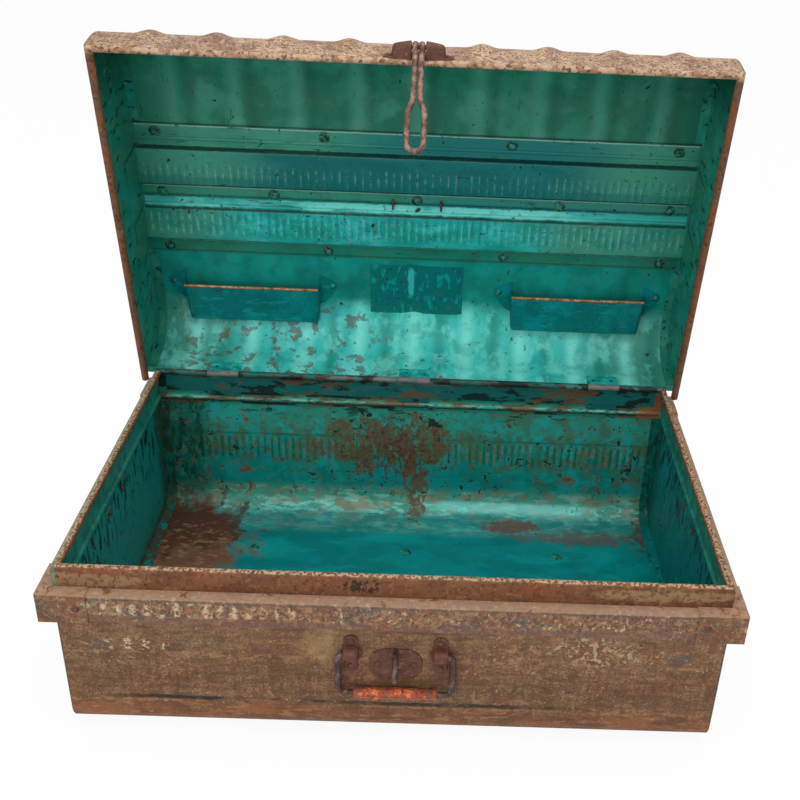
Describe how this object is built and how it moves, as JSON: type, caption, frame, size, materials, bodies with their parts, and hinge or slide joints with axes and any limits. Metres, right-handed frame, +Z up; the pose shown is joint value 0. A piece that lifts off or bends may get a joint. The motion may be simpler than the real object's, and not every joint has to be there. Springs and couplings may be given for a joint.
{
  "type": "steel travelling trunk",
  "caption": "Pressed steel travelling trunk with a ribbed hinged lid, hasp and staple, swinging handles, stiffened lid and two lid pockets.",
  "frame": {"origin": "on the ground under the middle of the body, with the lid's hinge at the back", "axes": "+X to the right of someone in front of the trunk, +Y to the back, +Z up"},
  "size_m": [0.692, 0.5441, 0.6461],
  "materials": {
    "outer_paint": "worn brown paint over rusty sheet steel",
    "rim_rust": "rusty painted sheet with flaked patches",
    "ledge_paint": "worn purple-brown paint, bare at the edges",
    "lid_paint": "worn tan paint outside, turquoise inside",
    "inner_paint": "chipped turquoise and teal paint",
    "hinge_metal": "worn grey hinge sheet",
    "iron": "dark oxidised iron wire",
    "plate_brown": "dark red-brown enamel",
    "grip_red": "chipped orange-red paint on a turned grip",
    "hasp_iron": "worn bare iron wire",
    "copper_wire": "coppered lip wire",
    "rivet_paint": "painted rivets"
  },
  "bodies": {
    "body": {"body_wrap": "outer_paint", "left_end_panel": "outer_paint", "right_end_panel": "outer_paint", "front_rim": "rim_rust", "left_rim": "rim_rust", "right_rim": "rim_rust", "back_rim": "rim_rust", "hinge_sleeve": "hinge_metal", "hinge_tabs": "hinge_metal", "hinge_wire": "iron", "front_band": "ledge_paint", "back_band": "ledge_paint", "left_band": "ledge_paint", "right_band": "ledge_paint", "front_left_corner": "ledge_paint", "front_right_corner": "ledge_paint", "back_left_corner": "ledge_paint", "back_right_corner": "ledge_paint", "corner_rivets": "plate_brown", "front_runner": "outer_paint", "rear_runner": "outer_paint", "runner_rivets": "rivet_paint", "runner_washers": "rivet_paint", "right_repair_strip": "outer_paint", "repair_rivets": "rivet_paint", "staple_plate": "plate_brown", "staple": "iron", "staple_rivets": "plate_brown", "left_eye_plate": "plate_brown", "right_eye_plate": "plate_brown", "eye_plate_rivets": "plate_brown", "left_handle_plate": "plate_brown", "left_handle_rivets": "plate_brown", "right_handle_plate": "plate_brown", "right_handle_rivets": "plate_brown"},
    "lid": {"lid_shell": "lid_paint", "lid_left_end": "inner_paint", "lid_right_end": "inner_paint", "lid_edge_bead": "rim_rust", "lid_front_batten": "inner_paint", "lid_rear_batten": "inner_paint", "batten_rivets": "rivet_paint", "batten_washers": "rivet_paint", "hinge_straps": "hinge_metal", "strap_rivets": "rivet_paint", "left_pocket": "inner_paint", "right_pocket": "inner_paint", "lip_wires": "copper_wire", "pocket_rivets": "rivet_paint", "hasp_plate": "plate_brown", "hasp_rivets": "plate_brown", "hasp_pin": "iron", "split_pins": "iron"},
    "hasp": {"hasp": "hasp_iron"},
    "front_handle": {"front_bail": "iron", "front_grip": "grip_red"},
    "left_handle": {"left_bail": "iron"},
    "right_handle": {"right_bail": "iron"},
    "top_handle": {"top_bail": "iron"}
  },
  "joints": [
    {"name": "lid_hinge", "type": "hinge", "parent": "body", "child": "lid", "pos_m": [0, 0.206, 0.207], "axis": [1, 0, 0], "range_deg": [0, 80.5]},
    {"name": "hasp_swing", "type": "hinge", "parent": "lid", "child": "hasp", "pos_m": [0.002, 0.12304, 0.63974], "axis": [-1, 0, 0], "range_deg": [-9, 141]},
    {"name": "front_handle_swing", "type": "hinge", "parent": "body", "child": "front_handle", "pos_m": [0.002, -0.2185, 0.119], "axis": [-1, 0, 0], "range_deg": [0, 95]},
    {"name": "left_handle_swing", "type": "hinge", "parent": "body", "child": "left_handle", "pos_m": [-0.3385, 0, 0.146], "axis": [0, 1, 0], "range_deg": [0, 95]},
    {"name": "right_handle_swing", "type": "hinge", "parent": "body", "child": "right_handle", "pos_m": [0.3385, 0, 0.146], "axis": [0, -1, 0], "range_deg": [0, 95]},
    {"name": "top_handle_swing", "type": "hinge", "parent": "lid", "child": "top_handle", "pos_m": [0, 0.27938, 0.42409], "axis": [1, 0, 0], "range_deg": [0, 170]}
  ],
  "couplings": [
    {"joint": "hasp_swing", "follows": "lid_hinge", "ratio": 0.50932}
  ]
}
